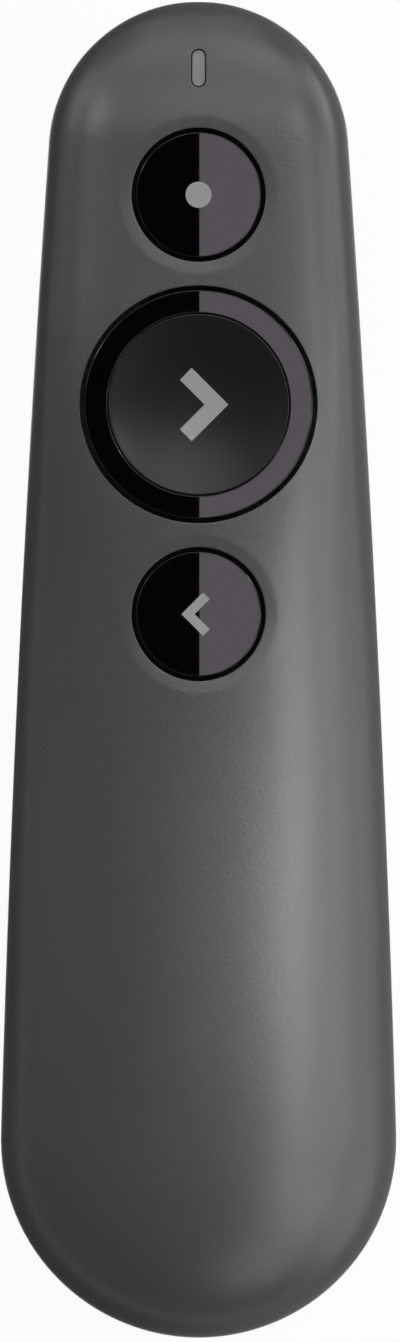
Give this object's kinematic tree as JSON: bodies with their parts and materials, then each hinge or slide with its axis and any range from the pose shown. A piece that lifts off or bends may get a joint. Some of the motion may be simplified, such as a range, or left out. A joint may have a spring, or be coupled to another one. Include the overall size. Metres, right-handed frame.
{
  "type": "wireless presentation clicker",
  "caption": "Slim handheld presentation remote: round laser, next and back buttons, nose indicator and laser window, sliding battery door",
  "frame": {"origin": "middle of the case's box at the height of the surface that the belly rests on", "axes": "+Z out of the button face, +Y along the case towards the laser nose, +X to the right seen from above with the nose away"},
  "size_m": [0.0388, 0.131, 0.026],
  "materials": {
    "case_graphite": "fine matte moulded graphite plastic",
    "tray_black": "plain moulded black plastic",
    "gloss_black": "high-gloss black plastic",
    "pad_black": "satin black plastic",
    "sign_grey": "light grey plastic inlay",
    "light_grey": "milky translucent plastic",
    "window_red": "dark red tinted clear plastic",
    "lens_clear": "clear moulded lens",
    "brass": "turned brass",
    "diode_steel": "plated steel can",
    "board_green": "green solder mask",
    "switch_black": "black switch case",
    "plunger_grey": "pale switch plunger",
    "chip_black": "chip package",
    "crystal_steel": "metal can",
    "capacitor_tan": "fired ceramic",
    "led_white": "white LED package",
    "contact_nickel": "nickel-plated spring steel",
    "battery_wrap": "printed battery jacket",
    "receiver_black": "black receiver housing",
    "plug_steel": "folded steel plug shell",
    "screw_steel": "dark zinc-plated steel"
  },
  "bodies": {
    "case": {"top_shell": "case_graphite", "bottom_shell": "case_graphite", "battery_tray": "tray_black", "main_board": "board_green", "radio_chip": "chip_black", "crystal": "crystal_steel", "capacitors": "capacitor_tan", "status_led": "led_white", "light_pipe": "light_grey", "laser_switch": "switch_black", "next_switch": "switch_black", "back_switch": "switch_black", "laser_barrel": "brass", "laser_lens": "lens_clear", "laser_diode": "diode_steel", "laser_leads": "contact_nickel", "laser_window": "window_red", "battery_left": "battery_wrap", "battery_right": "battery_wrap", "tail_spring": "contact_nickel", "front_spring": "contact_nickel", "positive_contact": "contact_nickel", "negative_contact": "contact_nickel", "bridge_contact": "contact_nickel", "receiver_housing": "receiver_black", "receiver_plug": "plug_steel", "receiver_tongue": "tray_black", "board_screws": "screw_steel", "case_screws": "screw_steel", "tray_screws": "screw_steel"},
    "laser_button": {"laser_button_cap": "gloss_black", "laser_button_dot": "sign_grey", "laser_switch_plunger": "plunger_grey"},
    "next_button": {"next_button_ring": "gloss_black", "next_button_pad": "pad_black", "next_button_sign": "sign_grey", "next_switch_plunger": "plunger_grey"},
    "back_button": {"back_button_cap": "gloss_black", "back_button_sign": "sign_grey", "back_switch_plunger": "plunger_grey"},
    "door": {"battery_door": "case_graphite"}
  },
  "joints": [
    {"name": "laser_press", "type": "slide", "parent": "case", "child": "laser_button", "axis": [0, 0, -1], "range_m": [0, 0.0005], "stiffness_N_per_m": 700},
    {"name": "next_press", "type": "slide", "parent": "case", "child": "next_button", "axis": [0, 0, -1], "range_m": [0, 0.0005], "stiffness_N_per_m": 700},
    {"name": "back_press", "type": "slide", "parent": "case", "child": "back_button", "axis": [0, 0, -1], "range_m": [0, 0.0005], "stiffness_N_per_m": 700},
    {"name": "door_slide", "type": "slide", "parent": "case", "child": "door", "axis": [0, -1, 0], "range_m": [0, 0.078]}
  ]
}
